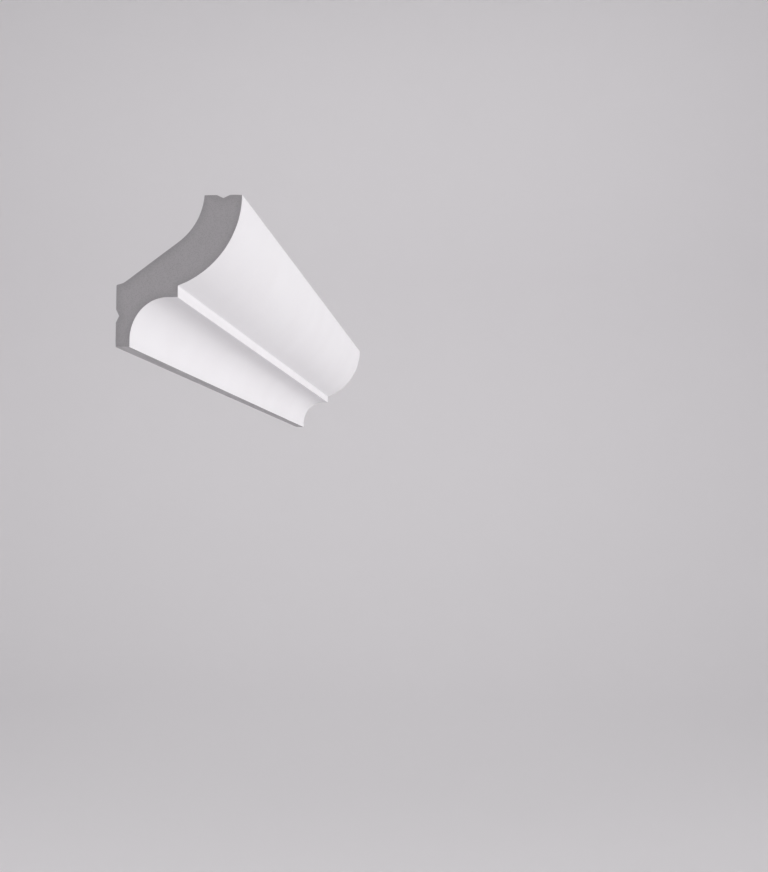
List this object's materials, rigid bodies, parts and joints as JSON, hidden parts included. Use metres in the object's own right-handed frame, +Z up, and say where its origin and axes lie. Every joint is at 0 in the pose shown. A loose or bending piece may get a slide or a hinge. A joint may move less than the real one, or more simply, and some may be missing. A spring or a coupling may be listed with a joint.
{
  "type": "crown moulding length",
  "caption": "Straight length of light crown moulding for a wall and ceiling angle: convex ovolo over a flat fillet and a concave cove, hollowed back, grooved bonding faces.",
  "frame": {"origin": "on the wall face, half way along the length, in the middle of the flat between the bottom edge and the adhesive groove, 7.8 mm above the bottom edge", "axes": "+X along the length, +Y out of the wall face and into the wall, +Z up and out of the ceiling face into the ceiling"},
  "size_m": [0.76, 0.08, 0.096],
  "materials": {
    "primed_foam": "satin white factory primer on rigid polymer foam, bare grey foam at the cut ends"
  },
  "bodies": {
    "root": {"crown_moulding": "primed_foam"}
  },
  "joints": []
}
